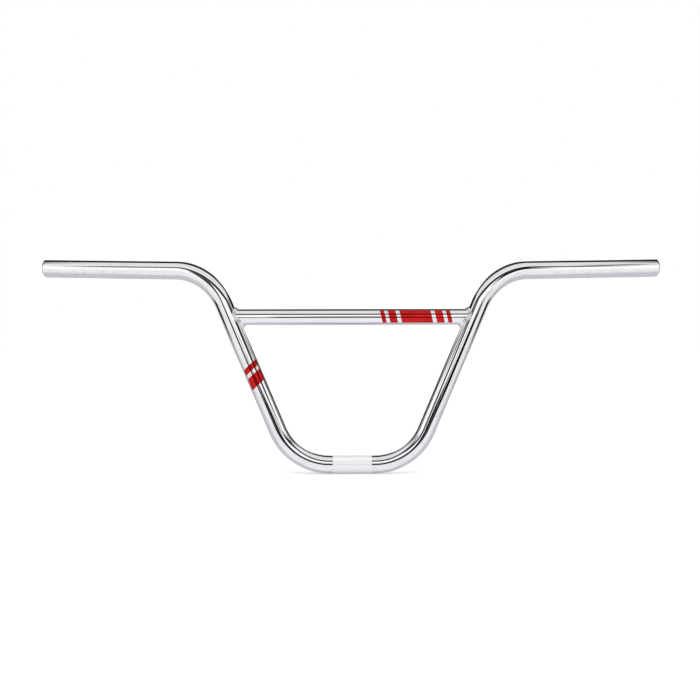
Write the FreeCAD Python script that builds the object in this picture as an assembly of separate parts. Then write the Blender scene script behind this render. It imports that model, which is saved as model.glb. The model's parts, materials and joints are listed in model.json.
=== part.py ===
import FreeCAD, Part
import math
import os

from FreeCAD import Vector

# A freestyle bicycle handlebar: one bent steel tube, with a straight crossbar welded between its legs.
# Lengths are in millimetres and angles in degrees. The origin is the middle of the stem clamp. +X runs
# along the clamp to the rider's left hand, +Y points back to the rider and +Z up.

# Main tube: the span and rise are to the middle of each grip's end face, and the wall thins from the
# clamp's to the grip's over the butt taper, which starts where the upper bend ends.
TUBE_DIAMETER = 22.2
CLAMP_WALL = 1.6
GRIP_WALL = 1.2
BUTT_TAPER = 40.0
END_SPAN = 732.0
RISE = 230.8
BACKSWEEP = 11.0
UPSWEEP = 1.7
LEG_LEAN = 23.0
CLAMP_FLAT = 52.0
BEND_RADIUS = 65.0
END_ROUND = 0.7
END_DEBURR = 0.3

# Crossbar: its height is from the clamp's axis to its own.
CROSSBAR_DIAMETER = 19.05
CROSSBAR_WALL = 1.0
CROSSBAR_HEIGHT = 171.0

# Weld beads: the leg is how far a bead spreads along each tube from the joint, the crown is how far it
# bulges out between its two toes, and the step is the spacing of its sections along the joint.
WELD_LEG = 3.4
WELD_CROWN = 0.6
WELD_ROOT = 2.0
WELD_BITE = 0.2
WELD_STEP = 2.2

SAME_LENGTH = 1e-4

tube_radius = TUBE_DIAMETER / 2
clamp_bore = tube_radius - CLAMP_WALL
grip_bore = tube_radius - GRIP_WALL
crossbar_radius = CROSSBAR_DIAMETER / 2
middle = Vector(0, 0, 0)
sideways = Vector(1, 0, 0)

# The headings of the two straight runs beside the clamp, on the +X half.
lean = math.radians(LEG_LEAN)
backsweep = math.radians(BACKSWEEP)
upsweep = math.radians(UPSWEEP)
leg_heading = Vector(math.sin(lean), 0, math.cos(lean))
grip_heading = Vector(
    math.cos(upsweep) * math.cos(backsweep),
    math.cos(upsweep) * math.sin(backsweep),
    math.sin(upsweep),
)

# The corners where the straight runs would meet without bends. The upper one is at the height that brings
# the middle of the grip's end face out at the wanted span and rise.
spread = math.tan(lean)
lower_reach = BEND_RADIUS * math.tan(sideways.getAngle(leg_heading) / 2)
lower_corner = Vector(CLAMP_FLAT / 2 + lower_reach, 0, 0)
spread_at_rise = lower_corner.x + RISE * spread
grip_reach = (END_SPAN / 2 - spread_at_rise) / (grip_heading.x - grip_heading.z * spread)
corner_height = RISE - grip_reach * grip_heading.z
upper_corner = lower_corner + leg_heading * (corner_height / leg_heading.z)
grip_end = upper_corner + grip_heading * grip_reach


class Bend:
    """One bend of the centre line: the arc that rounds off a corner between two headings."""

    def __init__(self, corner, heading, next_heading):
        turn = heading.getAngle(next_heading)
        reach = BEND_RADIUS * math.tan(turn / 2)
        self.heading = heading
        self.turn = math.degrees(turn)
        self.start = corner - heading * reach
        self.end = corner + next_heading * reach
        self.axis = heading.cross(next_heading).normalize()
        self.centre = self.start + self.axis.cross(heading) * BEND_RADIUS

    def line(self):
        """The arc as an edge."""
        half_turn = FreeCAD.Rotation(self.axis, self.turn / 2)
        halfway = self.centre + half_turn.multVec(self.start - self.centre)
        return Part.Arc(self.start, halfway, self.end).toShape()

    def bar(self, radius):
        """A solid round bar along the arc."""
        disc = Part.Face(Part.Wire(Part.makeCircle(radius, self.start, self.heading)))
        return disc.revolve(self.centre, self.axis, self.turn)


lower_bend = Bend(lower_corner, sideways, leg_heading)
upper_bend = Bend(upper_corner, leg_heading, grip_heading)
centre_line = Part.Wire([
    Part.makeLine(middle, lower_bend.start),
    lower_bend.line(),
    Part.makeLine(lower_bend.end, upper_bend.start),
    upper_bend.line(),
    Part.makeLine(upper_bend.end, grip_end),
])

crossbar_half = lower_corner.x + CROSSBAR_HEIGHT * spread
crossbar_start = Vector(-crossbar_half, 0, CROSSBAR_HEIGHT)
crossbar_end = Vector(crossbar_half, 0, CROSSBAR_HEIGHT)
crossbar_line = Part.makeLine(crossbar_start, crossbar_end)


def mirrored(shape):
    """The same shape on the other half of the bar."""
    return shape.mirror(middle, sideways)


def straight_bar(start, end, radius, end_radius):
    """A solid round bar between two points, tapered where the radii differ."""
    length = start.distanceToPoint(end)
    if radius == end_radius:
        return Part.makeCylinder(radius, length, start, end - start)
    return Part.makeCone(radius, end_radius, length, start, end - start)


def bent_bar(radius, grip_radius, end):
    """A solid round bar along the whole centre line, tapered to the grip's radius past each upper bend."""
    butt = upper_bend.end + grip_heading * BUTT_TAPER
    half = [
        straight_bar(middle, lower_bend.start, radius, radius),
        lower_bend.bar(radius),
        straight_bar(lower_bend.end, upper_bend.start, radius, radius),
        upper_bend.bar(radius),
        straight_bar(upper_bend.end, butt, radius, grip_radius),
        straight_bar(butt, end, grip_radius, grip_radius),
    ]
    other_half = [mirrored(piece) for piece in half]
    return half[0].multiFuse(half[1:] + other_half).removeSplitter()


def end_rims(tube, radius):
    """The circular edges of one radius on the tube's two end faces."""
    circles = [edge for edge in tube.Edges if isinstance(edge.Curve, Part.Circle)]
    return [
        edge
        for edge in circles
        if abs(edge.Curve.Radius - radius) < SAME_LENGTH
        and abs(edge.Curve.Center.Length - grip_end.Length) < SAME_LENGTH
    ]


def hollow_tube(outline):
    """The bent tube: its outline less the butted bore, with a rounded outer rim and a deburred inner one."""
    past_end = grip_end + grip_heading * GRIP_WALL
    tube = outline.cut(bent_bar(clamp_bore, grip_bore, past_end))
    tube = tube.makeFillet(END_ROUND, end_rims(tube, tube_radius))
    return tube.makeChamfer(END_DEBURR, end_rims(tube, grip_bore))


def crossbar_rod(radius):
    """A solid rod on the crossbar's axis, from one leg's centre line to the other's."""
    return straight_bar(crossbar_start, crossbar_end, radius, radius)


def foot(line, point):
    """The nearest point of a tube's centre line."""
    return line.distToShape(Part.Vertex(point))[1][0][0]


def outward(line, point):
    """The unit vector from a tube's centre line to a point on the tube."""
    return (point - foot(line, point)).normalize()


def at_radius(line, point, radius):
    """The point, moved square to a tube's centre line until it lies one radius from it."""
    return foot(line, point) + outward(line, point) * radius


def facing(vector, guide):
    """The unit vector, or its opposite, whichever leans with the guide."""
    unit = Vector(vector).normalize()
    return unit if unit.dot(guide) > 0 else unit * -1


def weld_section(point, along):
    """The bead's closed outline across one point of the joint: a toe on each tube, a crown and a root.

    The toes are sunk by the bite, and the root is inside the tubes, which are cut away later.
    """
    leg_normal = outward(centre_line, point)
    crossbar_normal = outward(crossbar_line, point)
    over_leg = facing(along.cross(leg_normal), crossbar_normal)
    over_crossbar = facing(along.cross(crossbar_normal), leg_normal)
    leg_toe = at_radius(centre_line, point + over_leg * WELD_LEG, tube_radius - WELD_BITE)
    crossbar_toe = at_radius(crossbar_line, point + over_crossbar * WELD_LEG, crossbar_radius - WELD_BITE)
    away = (leg_normal + crossbar_normal).normalize()
    crown = (leg_toe + crossbar_toe) * 0.5 + away * WELD_CROWN
    root = point - away * WELD_ROOT
    return Part.Wire([
        Part.Arc(leg_toe, crown, crossbar_toe).toShape(),
        Part.makeLine(crossbar_toe, root),
        Part.makeLine(root, leg_toe),
    ])


def weld_bead(outline, rod):
    """The bead round the crossbar's end at the +X leg: a closed loft along the joint, less both tubes."""
    joint_edges = [edge for edge in outline.section(rod).Edges if edge.CenterOfMass.x > 0]
    joint = Part.Wire(Part.sortEdges(joint_edges)[0])
    count = math.ceil(joint.Length / WELD_STEP)
    points = joint.discretize(Number=count + 1)[:-1]
    sections = [
        weld_section(point, points[(i + 1) % count] - points[i - 1])
        for i, point in enumerate(points)
    ]
    ring = Part.makeLoft(sections, True, False, True)
    return ring.cut(outline).cut(rod)


outline = bent_bar(tube_radius, tube_radius, grip_end)
rod = crossbar_rod(crossbar_radius)
bore = crossbar_rod(crossbar_radius - CROSSBAR_WALL)
bead = weld_bead(outline, rod)

nodes = {
    "main_tube": hollow_tube(outline),
    "crossbar": rod.cut(bore).cut(outline),
    "weld_beads": Part.makeCompound([bead, mirrored(bead)]),
}

os.makedirs("parts", exist_ok=True)
for name, shape in nodes.items():
    shape.exportStep(f"parts/{name}.step")
    box = shape.BoundBox
    print(
        f"{name}: {len(shape.Solids)} solid, valid {shape.isValid()}, {shape.Volume:.0f} mm3, "
        f"{box.XLength:.1f} x {box.YLength:.1f} x {box.ZLength:.1f} mm"
    )
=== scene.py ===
# %% [markdown]
# A freestyle bicycle handlebar, chrome plated: one bent tube, a straight crossbar welded between its legs and
# a knurled band where the stem clamps it. The CAD model already has the right shapes, but its facets are too
# coarse for a mirror, so this lesson builds the same skins again from formulas, fine enough for chrome, and
# then builds the white studio that the chrome reflects. Everything is in metres, in the CAD model's frame:
# the clamp's middle is the origin, +X runs to the rider's left hand, +Y back to the rider and +Z up.

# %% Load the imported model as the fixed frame
import json
import math

import bpy
import numpy as np
from mathutils import Matrix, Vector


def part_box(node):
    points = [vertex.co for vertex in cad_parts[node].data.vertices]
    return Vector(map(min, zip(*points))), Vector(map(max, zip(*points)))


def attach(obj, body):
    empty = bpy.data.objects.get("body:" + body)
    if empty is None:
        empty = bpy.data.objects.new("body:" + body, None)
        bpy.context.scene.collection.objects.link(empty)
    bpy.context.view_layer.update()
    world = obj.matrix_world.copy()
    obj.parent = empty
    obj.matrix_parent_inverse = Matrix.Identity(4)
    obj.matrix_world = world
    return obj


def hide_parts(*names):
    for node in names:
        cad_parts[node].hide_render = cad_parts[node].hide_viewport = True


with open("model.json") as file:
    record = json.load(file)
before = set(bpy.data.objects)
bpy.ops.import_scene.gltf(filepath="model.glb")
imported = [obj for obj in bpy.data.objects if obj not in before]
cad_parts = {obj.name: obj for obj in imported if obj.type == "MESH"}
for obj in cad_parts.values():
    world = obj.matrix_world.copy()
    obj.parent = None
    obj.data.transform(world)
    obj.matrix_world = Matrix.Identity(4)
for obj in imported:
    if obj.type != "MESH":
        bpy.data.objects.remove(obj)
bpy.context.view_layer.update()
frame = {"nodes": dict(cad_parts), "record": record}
print("CAD nodes:", sorted(frame["nodes"]))

# %% [markdown]
# Sizes come first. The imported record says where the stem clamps, where the grips push on and how wide the
# bore is at the bar's ends, and the crossbar's own box gives its radius and height. Reading them keeps the
# skins on the solids when the part is packed again with other sizes. Only what the record doesn't say is
# written here: how far the legs lean, how tight the bends are and how thick the walls get.

# %% Read the bar's sizes
MM = 0.001
LEG_LEAN = math.radians(23.0)
BEND_RADIUS = 65.0 * MM
CLAMP_WALL = 1.6 * MM
BUTT_TAPER = 40.0 * MM
END_ROUND = 0.7 * MM
END_DEBURR = 0.3 * MM
CROSSBAR_WALL = 1.0 * MM

mounts = {mount["name"]: mount for mount in frame["record"]["mounts"]}
tube_radius = mounts["stem_clamp"]["dims"]["r_mm"] * MM
clamp_flat = mounts["stem_clamp"]["dims"]["length_mm"] * MM
end_bore = mounts["bar_end_left"]["dims"]["r_mm"] * MM
grip_heading = np.array(mounts["grip_left"]["axis"])
grip_middle = np.array(mounts["grip_left"]["pos_m"])
grip_half = mounts["grip_left"]["dims"]["length_mm"] * MM / 2
grip_end = grip_middle + grip_heading * (grip_half + END_ROUND)

crossbar_low, crossbar_high = (np.array(corner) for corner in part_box("crossbar"))
crossbar_height = (crossbar_low[2] + crossbar_high[2]) / 2
crossbar_radius = (crossbar_high[2] - crossbar_low[2]) / 2
print(f"tube {tube_radius * 2 / MM:.1f} mm, crossbar {crossbar_radius * 2 / MM:.2f} mm, "
      f"grip end at {np.round(grip_end / MM, 1)} mm")

# %% [markdown]
# The bar's centre line is five straight runs joined by four arcs, as a bending machine makes it. A Blender
# curve could draw it, but then each skin would depend on the curve's own sampling. Here the line is a formula
# of one number, the distance from the clamp's middle along the tube, so any skin can ask for any station.
# The half with negative distances is the other half's mirror image.

# %% The centre line as a function of distance
SIDEWAYS = np.array([1.0, 0.0, 0.0])
FRONT = np.array([0.0, -1.0, 0.0])
leg_heading = np.array([math.sin(LEG_LEAN), 0.0, math.cos(LEG_LEAN)])
lower_corner = np.array([clamp_flat / 2 + BEND_RADIUS * math.tan((math.pi / 2 - LEG_LEAN) / 2), 0.0, 0.0])
upper_corner = grip_end - grip_heading * (grip_end[1] / grip_heading[1])


def unit(vectors):
    """Vectors divided by their lengths."""
    return vectors / np.linalg.norm(vectors, axis=-1, keepdims=True)


def corner_reach(heading, next_heading):
    """How far a bend starts before its corner: the bend's radius times the tangent of half its turn."""
    turn = math.acos(heading @ next_heading)
    return turn, BEND_RADIUS * math.tan(turn / 2)


lower_turn, lower_reach = corner_reach(SIDEWAYS, leg_heading)
upper_turn, upper_reach = corner_reach(leg_heading, grip_heading)
lower_start = lower_corner[0] - lower_reach
lower_end = lower_start + BEND_RADIUS * lower_turn
leg_length = np.linalg.norm(upper_corner - lower_corner) - lower_reach - upper_reach
upper_start = lower_end + leg_length
upper_end = upper_start + BEND_RADIUS * upper_turn
half_length = upper_end + np.linalg.norm(grip_end - upper_corner) - upper_reach


def run(distance, start, heading):
    """A straight run: its start plus the heading times the distance."""
    return start + distance[:, None] * heading, np.broadcast_to(heading, (len(distance), 3))


def bend(distance, start, heading, next_heading):
    """An arc: the heading times the sine of the angle turned, plus inward times one less its cosine."""
    angle = (distance / BEND_RADIUS)[:, None]
    inward = unit(next_heading - heading * (heading @ next_heading))
    place = start + BEND_RADIUS * (heading * np.sin(angle) + inward * (1 - np.cos(angle)))
    return place, heading * np.cos(angle) + inward * np.sin(angle)


def along_bar(distance):
    """Points and headings of the centre line at signed distances from the clamp's middle."""
    reach = np.abs(distance)
    pieces = [
        run(reach, np.zeros(3), SIDEWAYS),
        bend(reach - lower_start, lower_corner - SIDEWAYS * lower_reach, SIDEWAYS, leg_heading),
        run(reach - lower_end, lower_corner + leg_heading * lower_reach, leg_heading),
        bend(reach - upper_start, upper_corner - leg_heading * upper_reach, leg_heading, grip_heading),
        run(reach - upper_end, upper_corner + grip_heading * upper_reach, grip_heading),
    ]
    which = np.searchsorted([lower_start, lower_end, upper_start, upper_end], reach)
    rows = np.arange(len(distance))
    place = np.stack([piece[0] for piece in pieces])[which, rows]
    heading = np.stack([piece[1] for piece in pieces])[which, rows]
    side = np.where(distance < 0, -1.0, 1.0)[:, None]
    return place * np.hstack([side, side**0, side**0]), heading * np.hstack([side**0, side, side])


print(f"centre line {2 * half_length / MM:.0f} mm long, bends of {math.degrees(lower_turn):.1f} and "
      f"{math.degrees(upper_turn):.1f} degrees")

# %% [markdown]
# Every skin in this lesson is a grid of points, so one helper puts them all into meshes. It numbers the
# corners of each square of the grid, joins the last row or column to the first where the skin closes on
# itself, and stores how far along and around each corner lies as a UV map, which the finishes read. A closed
# skin whose signed volume comes out negative is inside out, so its squares are turned round.

# %% Put grids of points into meshes


def grid_corners(shape, wrap):
    """Row and column of the four corners of each square, counted on past the last row or column at a seam."""
    rows, columns = (np.arange(count if closed else count - 1) for count, closed in zip(shape, wrap))
    row, column = (index.ravel() for index in np.meshgrid(rows, columns, indexing="ij"))
    return np.stack([row, row, row + 1, row + 1], 1), np.stack([column, column + 1, column + 1, column], 1)


def signed_volume(points, faces):
    """A sixth of the triple products of each square's two triangles, added up."""
    a, b, c, d = (points[faces[:, k]] for k in range(4))
    return (np.einsum("ij,ij->i", a, np.cross(b, c)) + np.einsum("ij,ij->i", a, np.cross(c, d))).sum() / 6


def make_piece(name, grids, wrap, measures=None):
    """One mesh object from several equal grids of points, with a UV map of metres along and around.

    Measures are named values of one number per point.
    """
    shape = grids[0].shape[:2]
    row, column = grid_corners(shape, wrap)
    faces = (row % shape[0]) * shape[1] + column % shape[1]
    volume = signed_volume(grids[0].reshape(-1, 3), faces)
    if all(wrap) and volume < 0:
        faces, row, column = faces[:, ::-1], row[:, ::-1], column[:, ::-1]
    points = np.concatenate([grid.reshape(-1, 3) for grid in grids])
    size = shape[0] * shape[1]
    faces = np.concatenate([faces + size * k for k in range(len(grids))])

    mesh = bpy.data.meshes.new(name)
    mesh.vertices.add(len(points))
    mesh.vertices.foreach_set("co", points.astype(np.float32).ravel())
    mesh.loops.add(faces.size)
    mesh.loops.foreach_set("vertex_index", faces.astype(np.int32).ravel())
    mesh.polygons.add(len(faces))
    mesh.polygons.foreach_set("loop_start", np.arange(0, faces.size, 4, dtype=np.int32))
    mesh.polygons.foreach_set("use_smooth", np.ones(len(faces), bool))
    for measure, values in (measures or {}).items():
        attribute = mesh.attributes.new(measure, "FLOAT", "POINT")
        attribute.data.foreach_set("value", np.tile(values.ravel(), len(grids)).astype(np.float32))
    steps = [
        np.linalg.norm(np.roll(grids[0], -1, axis) - grids[0], axis=2).mean(axis=1 - axis)
        for axis in (0, 1)
    ]
    far = [np.concatenate([[0.0], np.cumsum(step)]) for step in steps]
    uv = np.stack([far[0][row], far[1][column]], 2).reshape(-1, 2)
    mesh.uv_layers.new(name="metres").data.foreach_set(
        "uv", np.tile(uv, (len(grids), 1)).astype(np.float32).ravel())
    mesh.update(calc_edges=True)
    mesh.validate()
    piece = bpy.data.objects.new(name, mesh)
    bpy.context.scene.collection.objects.link(piece)
    holds = f", {abs(volume) * len(grids) / MM**3:.0f} mm3" if all(wrap) else ""
    print(f"{name}: {len(faces)} squares{holds}")
    return piece


def around_line(place, heading, radius, angles):
    """Circles about the points of a line: front times the cosine plus upper side times the sine.

    The front is the direction to the photograph's side, square to the line, and radius may vary by station.
    """
    front = unit(FRONT - heading * (heading @ FRONT)[:, None])
    upper = np.cross(front, heading)
    radius = np.broadcast_to(radius, (len(place), len(angles)))[..., None]
    spokes = front[:, None] * np.cos(angles)[:, None] + upper[:, None] * np.sin(angles)[:, None]
    return place[:, None] + radius * spokes


def turn_of(count):
    """Equal angles once round, without the one that meets the first again."""
    return np.arange(count) * (2 * math.pi / count)


print("a ring of 4 points a turn stands at", np.round(np.degrees(turn_of(4))), "degrees")

# %% [markdown]
# The main tube is drawn from steel, butted inside, bent and plated. Its skin is one profile carried along the
# centre line: out along the outer wall, over the rounded rim at one end, back through the bore, which is
# narrower in the middle where the wall is thicker, and over the other rim to where it began. Both directions
# close, so the skin is one watertight surface. Each rim is part of an ellipse, because polishing rolls it
# over further along the tube than across the wall. Under the knurled band the wall dips a little, to make
# room for the band's own fine skin. A value called inside keeps how deep each point lies in the bore.

# %% Main tube
AROUND = 128
BEND_STATIONS = 56
RUN_STATIONS = 6
RIM_STATIONS = 17
RIM_LONG = 2.2 * MM
KNURL_HALF = 22.6 * MM
KNURL_BED = 0.5 * MM
BED_SLOPE = 0.3 * MM
CRISP = 0.03 * MM


def stations(first, last, count):
    """Evenly spaced distances from first towards last, without last."""
    return np.linspace(first, last, count, endpoint=False)


def bore_radius(reach):
    """The bore: the clamp's radius up to the upper bend, growing to the end's over the butt taper."""
    return np.interp(reach, [upper_end, upper_end + BUTT_TAPER], [tube_radius - CLAMP_WALL, end_bore])


rim_angles = np.linspace(0, math.pi / 2, RIM_STATIONS)
bed_reach = np.array([0.0, KNURL_HALF - BED_SLOPE - CRISP, KNURL_HALF - BED_SLOPE,
                      KNURL_HALF - CRISP, KNURL_HALF])
bed_depth = np.array([1.0, 1.0, 1.0, 0.0, 0.0]) * KNURL_BED
outer_reach = np.concatenate([
    bed_reach,
    stations(KNURL_HALF + CRISP, lower_start, RUN_STATIONS),
    stations(lower_start, lower_end, BEND_STATIONS),
    stations(lower_end, upper_start, RUN_STATIONS),
    stations(upper_start, upper_end, BEND_STATIONS),
    stations(upper_end, half_length - RIM_LONG, RUN_STATIONS),
    half_length - RIM_LONG + RIM_LONG * np.sin(rim_angles),
])
outer_radius = np.full(len(outer_reach), tube_radius)
outer_radius[:len(bed_reach)] -= bed_depth
outer_radius[-len(rim_angles):] = tube_radius - END_ROUND + END_ROUND * np.cos(rim_angles)
face_radius = np.array([tube_radius - END_ROUND - CRISP, end_bore + END_DEBURR + CRISP,
                        end_bore + END_DEBURR])
deburr_reach = half_length - np.array([CRISP, END_DEBURR - CRISP, END_DEBURR, END_DEBURR + CRISP])
deburr_radius = np.array([end_bore + END_DEBURR - CRISP, end_bore + CRISP, end_bore, end_bore])
inner_reach = np.concatenate([
    stations(half_length - END_DEBURR - 2 * CRISP, upper_end + BUTT_TAPER, RUN_STATIONS),
    stations(upper_end + BUTT_TAPER, upper_end, RUN_STATIONS),
    stations(upper_end, upper_start, BEND_STATIONS // 2),
    stations(upper_start, lower_end, RUN_STATIONS),
    stations(lower_end, lower_start, BEND_STATIONS // 2),
    stations(lower_start, 0, RUN_STATIONS),
])
half_reach = np.concatenate([outer_reach, np.full(len(face_radius), half_length), deburr_reach,
                             inner_reach, [0.0]])
half_radius = np.concatenate([outer_radius, face_radius, deburr_radius, bore_radius(inner_reach),
                              [tube_radius - CLAMP_WALL]])
half_inside = np.where(np.arange(len(half_reach)) >= len(outer_reach) + len(face_radius),
                       half_length - half_reach, 0.0)

# The other half repeats the stations in reverse order with the sign changed, without the two at the middle.
reach = np.concatenate([half_reach, -half_reach[-2:0:-1]])
radius = np.concatenate([half_radius, half_radius[-2:0:-1]])
inside = np.concatenate([half_inside, half_inside[-2:0:-1]])
place, heading = along_bar(reach)
main_tube_skin = make_piece(
    "main_tube_skin",
    [around_line(place, heading, radius[:, None], turn_of(AROUND))],
    (True, True),
    {"inside": np.repeat(inside, AROUND)},
)

# %% [markdown]
# The middle of the bar is knurled so that the stem can't slip on it. A knurling wheel rolls two crossing sets
# of fine grooves, which leave rows of small diamonds. A bump texture would look right only from far off, so
# the grooves are real: two saw-tooth waves that wind round the tube in opposite senses, and at each point the
# deeper of the two. The grid has four points a tooth each way, so every groove and every peak is on a row of
# points. The band is a closed ring that fills the bed in the tube, and its peaks are flush with the tube.

# %% Knurled band at the clamp
TEETH_AROUND = 64
POINTS_A_TOOTH = 4
KNURL_DEPTH = 0.05 * MM
BAND_THICKNESS = 0.45 * MM
FLAT_TOP = 0.5
teeth_along = round(2 * KNURL_HALF / (2 * math.pi * tube_radius / TEETH_AROUND))
tooth_angles = turn_of(TEETH_AROUND * POINTS_A_TOOTH)
tooth_places = np.linspace(-KNURL_HALF, KNURL_HALF, teeth_along * POINTS_A_TOOTH + 1)


def groove(phase):
    """A saw-tooth wave: nought in the groove at each half, one on the land at each whole number."""
    return np.abs(2 * (phase % 1.0) - 1)


wind = TEETH_AROUND * tooth_angles / (2 * math.pi)
advance = (tooth_places[:, None] + KNURL_HALF) / (2 * KNURL_HALF) * teeth_along
land = np.minimum(np.minimum(groove(advance + wind), groove(advance - wind)), FLAT_TOP) / FLAT_TOP
land[[0, -1]] = 0.0
band_radius = np.concatenate([
    tube_radius - KNURL_DEPTH * (1 - land),
    np.full((2, len(tooth_angles)), tube_radius - BAND_THICKNESS),
])
band_reach = np.concatenate([tooth_places, [KNURL_HALF - BED_SLOPE / 2, BED_SLOPE / 2 - KNURL_HALF]])
place, heading = along_bar(band_reach)
clamp_knurl = make_piece(
    "clamp_knurl",
    [around_line(place, heading, band_radius, tooth_angles)],
    (True, True),
    {"land": np.concatenate([land, np.zeros((2, len(tooth_angles)))])},
)
print(f"knurl: {TEETH_AROUND} teeth round, {teeth_along} along, "
      f"{2 * math.pi * tube_radius / TEETH_AROUND / MM:.2f} mm apart")

# %% [markdown]
# The crossbar is a thinner tube whose ends are coped, cut to saddles that fit the round legs. A Boolean could
# cut them, but the saddle is easy to work out: a line along the crossbar meets the leg where its distance
# from the leg's axis is the leg's radius. So each line of the grid simply ends at its own place. The skin
# runs out along the outer wall, across the cut end, and back along the bore, and closes both ways.

# %% Coped crossbar
CROSSBAR_AROUND = 112
CROSSBAR_STATIONS = 12
angles = turn_of(CROSSBAR_AROUND)


def saddle_reach(radius, angles):
    """Half the length of a line on the crossbar: the leg's axis at that height, less the leg's half chord.

    The half chord is the root of the leg's radius squared less the depth squared, over the lean's cosine.
    """
    depth, height = radius * np.cos(angles), crossbar_height + radius * np.sin(angles)
    axis = lower_corner[0] + height * math.tan(LEG_LEAN)
    return axis - np.sqrt(tube_radius**2 - depth**2) / math.cos(LEG_LEAN)


def crossbar_points(share, radius):
    """Rows of points at shares from -1 to 1 of each line's half length, one radius from the axis."""
    across = share[:, None] * saddle_reach(radius, angles)
    return np.stack([across, np.broadcast_to(-radius * np.cos(angles), across.shape),
                     np.broadcast_to(crossbar_height + radius * np.sin(angles), across.shape)], 2)


# Two rows close to each cut end keep the smooth shading of the long wall from bending round the corner.
inset = 1 - np.array([0.0, CRISP, 2 * CRISP]) / (crossbar_high[0] - crossbar_low[0]) * 2
share = np.concatenate([-inset, np.linspace(-1, 1, CROSSBAR_STATIONS)[1:-1], inset[::-1]])
crossbar_skin = make_piece(
    "crossbar_skin",
    [np.concatenate([crossbar_points(share, crossbar_radius),
                     crossbar_points(share[::-1], crossbar_radius - CROSSBAR_WALL)])],
    (True, True),
)

# %% [markdown]
# A welder runs one bead round each end of the crossbar, in small steps that leave faint ripples, and the
# plating smooths them. The bead follows the saddle curve. At each point of it, one toe lies on the leg and
# one on the crossbar, square to the curve, and the face between them is a parabola that bulges by the crown.
# The ripples add to the crown round the joint, and two slow waves shift the toes, so that the bead doesn't
# look machined. The ring closes through a root just inside the metal.

# %% Weld beads
BEAD_AROUND = 480
BEAD_ACROSS = 14
WELD_LEG = 3.0 * MM
WELD_CROWN = 0.05 * MM
WELD_BITE = 0.12 * MM
WELD_ROOT = 0.7 * MM
RIPPLES = 34
RIPPLE_HEIGHT = 0.02 * MM
WANDER = 0.10 * MM
WANDER_WAVES = [(3, 0.7, 1.0), (7, 2.1, 0.6)]  # waves a turn, shift and share

angles = turn_of(BEAD_AROUND)
joint = np.stack([saddle_reach(crossbar_radius, angles), -crossbar_radius * np.cos(angles),
                  crossbar_height + crossbar_radius * np.sin(angles)], 1)
crossbar_axis_point = np.array([0.0, 0.0, crossbar_height])


def off_axis(points, origin, axis):
    """Points less their feet on an axis."""
    away = points - origin
    return away - (away @ axis)[:, None] * axis


def on_tube(points, origin, axis, radius):
    """Points moved square to a tube's axis until they lie one radius from it."""
    away = off_axis(points, origin, axis)
    return points - away + unit(away) * radius


def leaning(vectors, guide):
    """Unit vectors, each turned round where it leans against its guide."""
    return unit(vectors) * np.sign(np.sum(vectors * guide, 1))[:, None]


leg_normal = unit(off_axis(joint, lower_corner, leg_heading))
crossbar_normal = unit(off_axis(joint, crossbar_axis_point, SIDEWAYS))
along_joint = unit(np.roll(joint, -1, 0) - np.roll(joint, 1, 0))
sway = sum(share * np.sin(waves * angles + shift) for waves, shift, share in WANDER_WAVES)
wander = WANDER * sway[:, None]
up_leg = leaning(np.cross(along_joint, leg_normal), crossbar_normal)
along_crossbar = leaning(np.cross(along_joint, crossbar_normal), leg_normal)
leg_toe = on_tube(joint + up_leg * (WELD_LEG + wander), lower_corner, leg_heading, tube_radius - WELD_BITE)
crossbar_toe = on_tube(joint + along_crossbar * (WELD_LEG - wander), crossbar_axis_point, SIDEWAYS,
                       crossbar_radius - WELD_BITE)
away = unit(leg_normal + crossbar_normal)
ripple = RIPPLE_HEIGHT * (np.abs(np.sin(RIPPLES * angles / 2)) - 0.5)[:, None]
crown = (leg_toe + crossbar_toe) / 2 + away * (WELD_CROWN + ripple)
root = joint - away * WELD_ROOT

t = np.linspace(0, 1, BEAD_ACROSS)[:, None, None]
pull = 2 * crown - (leg_toe + crossbar_toe) / 2
face = (1 - t) ** 2 * leg_toe + 2 * t * (1 - t) * pull + t**2 * crossbar_toe
bead = np.concatenate([face, root[None]])
weld_bead_skins = make_piece("weld_bead_skins", [bead, bead[::-1] * [-1, 1, 1]], (True, True))

# %% [markdown]
# Two sets of thin red films are stuck to the bar: one on the front of the crossbar and a small one on one
# leg. They are plain slanted bars. Each is a patch of the tube's own surface, lifted a little: a flat grid
# whose corners are rounded by pulling the points of each corner square onto a quarter disc, slanted, and then
# wrapped round the tube. Solidify gives the film its edge.

# %% Red films
FILM_LIFT = 0.03 * MM
FILM_THICKNESS = 0.08 * MM
FILM_GRID = 29
FILM_CORNER = 1.6 * MM
CROSSBAR_FILM_WIDTH = 16.5 * MM
CROSSBAR_FILM_SLANT = 0.22
LEG_FILM_WIDTH = 20.0 * MM
LEG_FILM_SLANT = 0.35
# Each bar's middle along its tube and its length, from the crossbar's middle or the leg's lower corner.
CROSSBAR_BARS = [(36 * MM, 5 * MM), (47 * MM, 9 * MM), (74 * MM, 36 * MM), (101 * MM, 9 * MM),
                 (112 * MM, 5 * MM)]
LEG_BARS = [(107 * MM, 14 * MM), (122 * MM, 7 * MM)]


def rounded_bar(length, width, corner, slant):
    """A grid over a rectangle with rounded corners, its length leaning by the slant across its width.

    In each corner square the offset is scaled by its larger part over its length, which makes a quarter disc.
    """
    steps = np.linspace(-1, 1, FILM_GRID)
    a, b = np.meshgrid(steps * length / 2, steps * width / 2, indexing="ij")
    over = np.stack([np.abs(a) - (length / 2 - corner), np.abs(b) - (width / 2 - corner)])
    in_corner = (over > 0).all(0)
    scale = np.where(in_corner, over.max(0) / np.maximum(np.hypot(*over), 1e-9), 1.0)
    a = np.where(in_corner, np.sign(a) * (length / 2 - corner + over[0] * scale), a)
    b = np.where(in_corner, np.sign(b) * (width / 2 - corner + over[1] * scale), b)
    return a + slant * b, -b


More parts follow.
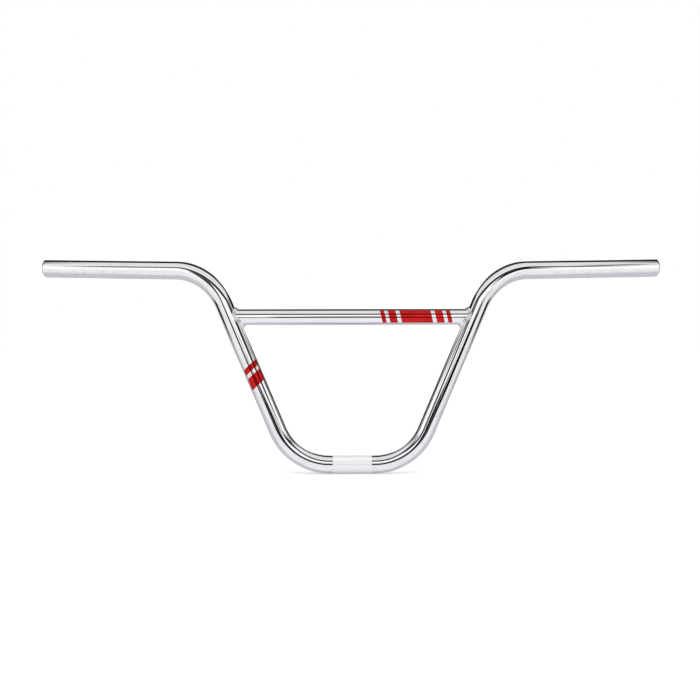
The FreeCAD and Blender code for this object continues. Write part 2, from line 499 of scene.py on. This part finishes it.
def film_set(name, origin, heading, radius, bars, width, corner, slant):
    """Films on a straight tube: each bar's length lies along the heading, its width around the front."""
    upper = np.cross(FRONT, heading)
    grids = []
    for middle, length in bars:
        a, b = rounded_bar(length, width, corner, slant)
        angle = (b / radius)[..., None]
        spoke = FRONT * np.cos(angle) + upper * np.sin(angle)
        grids.append(origin + heading * (middle + a)[..., None] + spoke * (radius + FILM_LIFT))
    piece = make_piece(name, grids, (False, False))
    solid = piece.modifiers.new("film edge", "SOLIDIFY")
    solid.thickness, solid.offset = FILM_THICKNESS, -1.0
    return piece


crossbar_films = film_set(
    "crossbar_films", crossbar_axis_point, SIDEWAYS, crossbar_radius,
    CROSSBAR_BARS, width=CROSSBAR_FILM_WIDTH, corner=FILM_CORNER, slant=CROSSBAR_FILM_SLANT)
right_leg_heading = leg_heading * [-1, 1, 1]
leg_films = film_set(
    "leg_films", lower_corner * [-1, 1, 1], right_leg_heading, tube_radius,
    LEG_BARS, width=LEG_FILM_WIDTH, corner=FILM_CORNER, slant=LEG_FILM_SLANT)

# %% [markdown]
# Finishes are node trees, and long trees are easier to read as sums. This small class holds one output of a
# tree: adding, subtracting or multiplying it makes the Math node, and the node method makes any other node,
# its settings first and then its sockets.

# %% Shader maths


class Wire:
    """An output in a node tree, on which sums and products add Math nodes."""

    def __init__(self, tree, socket=None):
        self.tree, self.socket = tree, socket

    def node(self, kind, settings=None, inputs=None, output=0):
        """A node of any kind: its settings are set first, then the values or wires of its sockets."""
        made = self.tree.nodes.new("ShaderNode" + kind)
        for setting, value in (settings or {}).items():
            setattr(made, setting, value)
        for name, value in (inputs or {}).items():
            if isinstance(value, Wire):
                self.tree.links.new(value.socket, made.inputs[name])
            else:
                made.inputs[name].default_value = value
        return Wire(self.tree, made.outputs[output] if len(made.outputs) else None)

    def math(self, operation, first, second):
        return self.node("Math", {"operation": operation}, {0: first, 1: second})

    def __add__(self, other):
        return self.math("ADD", self, other)

    def __sub__(self, other):
        return self.math("SUBTRACT", self, other)

    def __rsub__(self, other):
        return self.math("SUBTRACT", other, self)

    def __mul__(self, other):
        return self.math("MULTIPLY", self, other)

    __radd__, __rmul__ = __add__, __mul__

    def between(self, low, high):
        """Nought at low, one at high, eased at both ends."""
        return self.node("MapRange", {"interpolation_type": "SMOOTHSTEP"},
                         {"Value": self, "From Min": low, "From Max": high})

    def blend(self, first, second):
        """The first colour where this wire is nought, the second where it is one."""
        return self.node("Mix", {"data_type": "RGBA"}, {0: self, 6: first, 7: second}, output=2)


def new_finish(name):
    """An empty material and the wire that starts its tree."""
    material = bpy.data.materials.new(name)
    material.use_nodes = True
    material.node_tree.nodes.clear()
    return material, Wire(material.node_tree)


def noise(wire, coordinates, scale, detail=2.0):
    """Blender's noise about one half, at so many lumps a metre."""
    return wire.node("TexNoise", {}, {"Vector": coordinates, "Scale": scale, "Detail": detail})


def finish_surface(wire, sockets):
    """The Principled surface with the given sockets, wired to the material's output."""
    surface = wire.node("BsdfPrincipled", {}, sockets)
    material_output = wire.node("OutputMaterial", {}, {"Surface": surface})
    print(f"{wire.tree.name}: {len(wire.tree.nodes)} nodes, {len(wire.tree.links)} links")
    return material_output


print("operators on wires:", "+ - *", "and the methods between and blend")

# %% [markdown]
# Chrome is a thin, hard, slightly blue mirror on nickel. What makes it look real is what it reflects, but no
# plated tube is perfect: there are cloudy patches from polishing cloths, fine lines along the tube from the
# polishing belt, and a slow waviness that bends reflected lines a little. Each of these varies with the
# place on the object, or along and around the tube, and moves roughness, tint or bump by a small amount.

# %% Chrome plating
CHROME = (0.945, 0.947, 0.955, 1.0)
CHROME_CLOUD = (0.915, 0.917, 0.93, 1.0)
TUBE_GLOSS, TUBE_HAZE = 0.008, 0.012
WELD_GLOSS, WELD_HAZE = 0.34, 0.06
CLOUD_LUMPS = 28.0
WAVE_LUMPS = 42.0
BELT_LUMPS = (9.0, 2600.0, 1.0)  # along the tube, around it, and unused
BELT_ROUGHNESS = 0.008
WAVE_HEIGHT = 0.015 * MM
BELT_HEIGHT = 0.001 * MM


def plating(wire, gloss, haze):
    """Tint, roughness and normal of plated steel: clouds, belt lines and waviness on a base roughness."""
    place = wire.node("TexCoord", output="Object")
    metres = wire.node("UVMap", {"uv_map": "metres"})
    cloud = noise(wire, place, CLOUD_LUMPS, 4.0).between(0.42, 0.72)
    drawn_out = wire.node("Mapping", {}, {"Vector": metres, "Scale": BELT_LUMPS})
    belt = noise(wire, drawn_out, 1.0, 3.0)
    roughness = gloss + haze * cloud + BELT_ROUGHNESS * belt
    waves = noise(wire, place, WAVE_LUMPS, 1.0)
    wavy = wire.node("Bump", {}, {"Height": waves, "Strength": 0.5, "Distance": WAVE_HEIGHT})
    normal = wire.node("Bump", {}, {"Height": belt, "Strength": 0.05, "Distance": BELT_HEIGHT,
                                    "Normal": wavy})
    return cloud.blend(CHROME, CHROME_CLOUD), roughness, normal


def plated(name, gloss, haze):
    """A chrome finish for a piece that is plated all over."""
    material, wire = new_finish(name)
    tint, roughness, normal = plating(wire, gloss, haze)
    finish_surface(wire, {"Base Color": tint, "Metallic": 1.0, "Roughness": roughness, "Normal": normal})
    return material


crossbar_skin.data.materials.append(plated("chrome on the crossbar", TUBE_GLOSS, TUBE_HAZE))
weld_bead_skins.data.materials.append(plated("chrome on the welds", WELD_GLOSS, WELD_HAZE))
print("plated:", crossbar_skin.name, weld_bead_skins.name)

# %% [markdown]
# Plating reaches only a little way into a tube. Behind the rim the bore soon turns to bare drawn steel, dull
# and brownish grey with darker stains. The value stored with the mesh says how deep a point lies, and the
# finish goes from one to the other between two depths, a ragged edge that a little noise breaks up.

# %% Chrome outside, bare steel inside
BARE = (0.23, 0.22, 0.205, 1.0)
STAIN = (0.10, 0.085, 0.07, 1.0)
PLATED_DEPTH = 5.0 * MM
BARE_DEPTH = 20.0 * MM
RAGGED_REACH = 12.0 * MM
RAGGED_LUMPS = 160.0
STAIN_LUMPS = 90.0
BARE_ROUGHNESS = 0.42

tube_finish, wire = new_finish("chrome on the main tube")
tint, roughness, normal = plating(wire, TUBE_GLOSS, TUBE_HAZE)
depth = wire.node("Attribute", {"attribute_name": "inside"}, output="Fac")
place = wire.node("TexCoord", output="Object")
ragged = depth + RAGGED_REACH * noise(wire, place, RAGGED_LUMPS, 3.0)
bare = ragged.between(PLATED_DEPTH, BARE_DEPTH)
stained = noise(wire, place, STAIN_LUMPS, 5.0).between(0.45, 0.7).blend(BARE, STAIN)
finish_surface(wire, {
    "Base Color": bare.blend(tint, stained),
    "Metallic": 1.0 - 0.25 * bare,
    "Roughness": roughness + BARE_ROUGHNESS * bare,
    "Normal": normal,
})
main_tube_skin.data.materials.append(tube_finish)
print(f"bore turns to bare steel {PLATED_DEPTH / MM:.0f} to {BARE_DEPTH / MM:.0f} mm behind the rim")

# %% [markdown]
# On the knurl each diamond has a slightly torn edge and the grooves hold polish and dust, so the band is
# satin beside the mirror: rougher, and to the renderer only part metal. The height of the teeth is stored
# with the mesh: low places are rougher and are painted darker as shade in the grooves, and the tops lighter.

# %% Satin knurl
KNURL_TOP = (0.97, 0.97, 0.98, 1.0)
# The groove colour is painted shade: the grooves are coloured darker than the tops.
KNURL_GROOVE_SHADE = (0.88, 0.88, 0.90, 1.0)
GRAIN_LUMPS = 1800.0
GRAIN_HEIGHT = 0.01 * MM
DUST_LUMPS = 120.0

knurl_finish, wire = new_finish("chrome on the knurl")
land_height = wire.node("Attribute", {"attribute_name": "land"}, output="Fac")
place = wire.node("TexCoord", output="Object")
grain = noise(wire, place, GRAIN_LUMPS, 2.0)
dust = noise(wire, place, DUST_LUMPS, 3.0)
finish_surface(wire, {
    # Painted shade: low places of the knurl are coloured darker than the tops.
    "Base Color": land_height.between(0.0, 0.8).blend(KNURL_GROOVE_SHADE, KNURL_TOP),
    "Metallic": 0.25 + 0.25 * land_height,
    "Roughness": 0.46 + 0.05 * dust - 0.14 * land_height,
    "Normal": wire.node("Bump", {}, {"Height": grain, "Strength": 0.1, "Distance": GRAIN_HEIGHT}),
})
clamp_knurl.data.materials.append(knurl_finish)
print(f"knurl: grooves {KNURL_GROOVE_SHADE[0]:.2f}, tops {KNURL_TOP[0]:.2f}")

# %% [markdown]
# The films are printed red under a clear gloss. The ink is never quite even, so its colour drifts a little
# and fine specks break it up. The clear layer is Principled's coat, the same all over, so its values are
# set on the sockets themselves.

# %% Printed red film
RED = (0.68, 0.010, 0.010, 1.0)
RED_DEEP = (0.52, 0.005, 0.006, 1.0)
DRIFT_LUMPS = 60.0
SPECK_LUMPS = 2400.0
SPECK_HEIGHT = 0.01 * MM

film_finish, wire = new_finish("printed red film")
place = wire.node("TexCoord", output="Object")
drift = noise(wire, place, DRIFT_LUMPS, 3.0).between(0.35, 0.75)
speck = noise(wire, place, SPECK_LUMPS, 2.0)
finish_surface(wire, {
    "Base Color": drift.blend(RED, RED_DEEP),
    "Metallic": 0.9,
    "Roughness": 0.06 + 0.08 * speck,
    "Coat Weight": 0.2,
    "Coat Roughness": 0.03,
    "Normal": wire.node("Bump", {}, {"Height": speck, "Strength": 0.1, "Distance": SPECK_HEIGHT}),
})
for films in (crossbar_films, leg_films):
    films.data.materials.append(film_finish)
print("red films:", crossbar_films.name, leg_films.name)

# %% [markdown]
# Every piece now rides on the bar's one body. The skins of the two tubes and of the beads take the places of
# the CAD solids, which are hidden but kept.

# %% Pieces ride on the frame
for piece, slot in ((main_tube_skin, "main_tube"), (clamp_knurl, "main_tube"), (crossbar_skin, "crossbar"),
                    (weld_bead_skins, "weld_beads"), (crossbar_films, None), (leg_films, None)):
    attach(piece, "root")
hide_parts("main_tube")
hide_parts("crossbar")
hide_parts("weld_beads")

# %% [markdown]
# A mirror shows its studio, so the studio is modelled with as much care as the bar. It is a white tent with
# a dark opening for the camera, dark gaps at its sides and in its roof, and a floor that glows less under and
# behind the bar, as painted shade. A real tent's cloths could be separate planes, but their seams and soft
# edges are easier to write as angles on one large shell round the bar: white cloth, first bands that run
# right across it from side to side, and then cards laid over them, each with its edges and how soft those
# edges are.
# The shell glows with its own light, and brightness 1 is white. The shell is seen only in reflections, so the
# camera can stand anywhere.

# %% Studio shell
SHELL_RADIUS = 1.0
SHELL_MIDDLE = np.array([0.0, 0.0, 0.12])
SHELL_STEP = 0.5
TINT_DEPTH = 40.0
CLOTH = 1.08
BANDS = [  # low and high edge, up from straight ahead with overhead at 90, softness, brightness
    ("floor in front", -90, 0, 10, 0.90),
    # Painted shade: the shell's floor under and behind the bar glows less than the floor in front.
    ("floor in shade behind", -170, -90, 40, 0.40),
    ("roof in front", 50, 100, 5, 0.80),
    ("gap in the roof", 90, 120, 5, 0.00),
    ("lip over the opening", 30, 45, 5, 0.10),
]
FRONT_CARDS = [  # left, right, low and high edge, softness sideways and upright, brightness
    ("top of the opening", -40, 50, 25, 35, 5, 3, 0.00),
    ("left post of the opening", -35, -15, 5, 25, 5, 3, 0.05),
    ("right post of the opening", 25, 45, 10, 25, 5, 3, 0.00),
    ("window", -15, 20, 5, 25, 10, 5, 1.10),
    ("camera stand", 15, 40, -15, 0, 5, 5, 0.00),
    ("camera", -10, 10, -15, 2, 3, 3, 0.00),
    ("top of the camera", -5, 5, 5, 10, 5, 3, 0.40),
    ("corner of the opening", 55, 65, 30, 35, 5, 3, 0.00),
]
SIDE_CARDS = [  # the same at both sides: near and far edge from straight ahead, and the rest as above
    ("grey floor", 70, 170, -70, -20, 30, 20, 0.60),
    ("slot under the window", 10, 25, -15, -5, 5, 5, 0.00),
    ("end of the slot", 15, 30, -10, 5, 5, 5, 0.00),
    ("shade at the side", 70, 120, -10, 15, 10, 10, 0.50),
    ("gap at the side", 75, 125, 10, 45, 10, 15, 0.00),
    ("low gap", 80, 110, -15, -5, 5, 5, 0.00),
    ("white board", 55, 75, 5, 25, 10, 5, 1.10),
    ("gap behind", 150, 190, 50, 65, 10, 5, 0.10),
]
FLOOR_TINT = np.array([0.985, 0.970, 1.035])


def ease(values):
    """Nought below 0, one above 1, and three squares less two cubes between."""
    values = np.clip(values, 0, 1)
    return values * values * (3 - 2 * values)


def inside_edges(angle, low, high, soft):
    """One between two edges, nought outside, eased over the softness about each."""
    return ease((angle - low) / soft + 0.5) * ease((high - angle) / soft + 0.5)


compass = np.arange(-180, 180, SHELL_STEP)
tilt = np.linspace(-90, 90, round(180 / SHELL_STEP) + 1)
sideways, upright = np.radians(np.meshgrid(compass, tilt, indexing="ij"))
level = np.cos(upright)
shell = np.stack([np.sin(sideways) * level, -np.cos(sideways) * level, np.sin(upright)], 2)
ahead = np.degrees(np.arctan2(shell[..., 2], -shell[..., 1]))
glow = np.full(ahead.shape, CLOTH)
for _, low, high, soft, brightness in BANDS:
    cover = inside_edges(ahead, low, high, soft)
    glow = glow * (1 - cover) + brightness * cover
for cards, angle in ((FRONT_CARDS, np.degrees(sideways)), (SIDE_CARDS, np.degrees(np.abs(sideways)))):
    for _, near, far, low, high, soft, soft_up, brightness in cards:
        cover = inside_edges(angle, near, far, soft) * inside_edges(np.degrees(upright), low, high, soft_up)
        glow = glow * (1 - cover) + brightness * cover
downward = ease(-np.degrees(upright) / TINT_DEPTH)[..., None]
tinted = glow[..., None] * (1 - downward + downward * FLOOR_TINT)

studio = make_piece("studio_shell", [(shell * SHELL_RADIUS + SHELL_MIDDLE)[:, ::-1]], (True, False))
colours = studio.data.color_attributes.new("glow", "FLOAT_COLOR", "POINT")
colours.data.foreach_set("color", np.concatenate(
    [tinted, np.ones_like(glow)[..., None]], 2)[:, ::-1].astype(np.float32).ravel())
studio_finish, wire = new_finish("studio cloth")
cloth = wire.node("Attribute", {"attribute_name": "glow"}, output="Color")
wire.node("OutputMaterial", {}, {"Surface": wire.node("Emission", {}, {"Color": cloth, "Strength": 1.0})})
studio.data.materials.append(studio_finish)
studio.visible_camera = studio.visible_diffuse = studio.visible_shadow = False
print(f"studio: {len(BANDS)} bands, {len(FRONT_CARDS)} cards in front and {len(SIDE_CARDS)} at each side")

# %% [markdown]
# The bar stands on a pale floor against white. Near the bar the floor takes its soft shadow, and has just
# enough glow of its own, for the camera, to come out white where no shadow falls. Further off the glow grows
# until the floor is as white as the world behind it and no horizon shows. The floor isn't seen in the chrome,
# where the shell's own floor is, and from below it is clear, so the bar can be looked at from there. An even
# white world gives most of the light, and a wide soft lamp overhead, a little to the front, adds to it.

# %% Floor, light and world
FLOOR_HALF = 30.0
FLOOR_POINTS = 9
FLOOR_DROP = 0.2 * MM
FLOOR_PALE = (0.80, 0.80, 0.81, 1.0)
FLOOR_GLOW = 0.29
FADE_START = 0.35
FADE_END = 1.2
KEY_WATTS = 16.0
KEY_SIZE = 2.4
KEY_PLACE = (0.0, -0.9, 1.7)
KEY_TILT = math.radians(28)
AMBIENT = 0.85
floor_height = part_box("main_tube")[0].z - FLOOR_DROP
steps = np.linspace(-FLOOR_HALF, FLOOR_HALF, FLOOR_POINTS)
floor_grid = np.stack([*np.meshgrid(steps, steps), np.full((FLOOR_POINTS, FLOOR_POINTS), floor_height)], 2)
floor = make_piece("floor", [floor_grid], (False, False))
floor_finish, wire = new_finish("pale floor")
pale = wire.node("BsdfDiffuse", {}, {"Color": FLOOR_PALE})
camera_ray = wire.node("LightPath", output="Is Camera Ray")
place = wire.node("TexCoord", output="Object")
far_off = wire.node("VectorMath", {"operation": "LENGTH"}, {0: place}, output="Value")
fade = far_off.between(FADE_START, FADE_END)
whiteness = (FLOOR_GLOW + (1.0 - FLOOR_GLOW) * fade) * camera_ray
glow_of_floor = wire.node("Emission", {}, {"Color": (1.0, 1.0, 1.0, 1.0), "Strength": whiteness})
lit = wire.node("AddShader", {}, {0: pale, 1: glow_of_floor})
under = wire.node("NewGeometry", output="Backfacing")
seen = wire.node("MixShader", {}, {0: under, 1: lit, 2: wire.node("BsdfTransparent")})
wire.node("OutputMaterial", {}, {"Surface": seen})
floor.data.materials.append(floor_finish)
floor.visible_glossy = False

key = bpy.data.lights.new("soft light overhead", "AREA")
key.shape, key.size, key.energy = "DISK", KEY_SIZE, KEY_WATTS
key_lamp = bpy.data.objects.new("soft light overhead", key)
key_lamp.location = KEY_PLACE
key_lamp.rotation_euler = (KEY_TILT, 0.0, 0.0)
key_lamp.visible_glossy = False
bpy.context.scene.collection.objects.link(key_lamp)

world = bpy.data.worlds.new("white studio")
bpy.context.scene.world = world
world.use_nodes = True
world.node_tree.nodes.clear()
wire = Wire(world.node_tree)
seen_white = wire.node("LightPath", output="Is Camera Ray")
ambient = AMBIENT + (1.0 - AMBIENT) * seen_white
backdrop = wire.node("Background", {}, {"Color": (1.0, 1.0, 1.0, 1.0), "Strength": ambient})
wire.node("OutputWorld", {}, {"Surface": backdrop})
world.cycles_visibility.glossy = False
print(f"floor {floor_height / MM:.1f} mm, key {key.energy:.0f} W")

# %% [markdown]
# The camera stands where the photograph was taken from: straight in front, about 1.1 m away, at half the
# bar's height, turned and tipped by a fraction of a degree as the photograph is.

# %% Camera
VIEW_POINT = np.array([-10.2, -1123.0, 132.3]) * MM
VIEW_TURN = math.radians(-0.40)
VIEW_ROLL = math.radians(-0.10)
SENSOR_MM = 36.0
LENS_MM = 49.74
camera_data = bpy.data.cameras.new("camera")
camera_data.sensor_width, camera_data.lens = SENSOR_MM, LENS_MM
camera = bpy.data.objects.new("camera", camera_data)
camera.location = VIEW_POINT
camera.rotation_euler = (Matrix.Rotation(VIEW_TURN, 3, "Z") @ Matrix.Rotation(math.pi / 2, 3, "X")
                         @ Matrix.Rotation(VIEW_ROLL, 3, "Z")).to_euler()
bpy.context.scene.collection.objects.link(camera)
bpy.context.scene.camera = camera
bpy.context.scene.view_settings.view_transform = "Standard"
print(f"camera {np.linalg.norm(VIEW_POINT):.2f} m from the clamp, lens {camera_data.lens:.1f} mm")

# %% [markdown]
# Last, the view layer is updated, so that the dressed bar's box is current. Last, the dressed bar
# has to fill the same box as the CAD model.

# %% Update the view layer
bpy.context.view_layer.update()
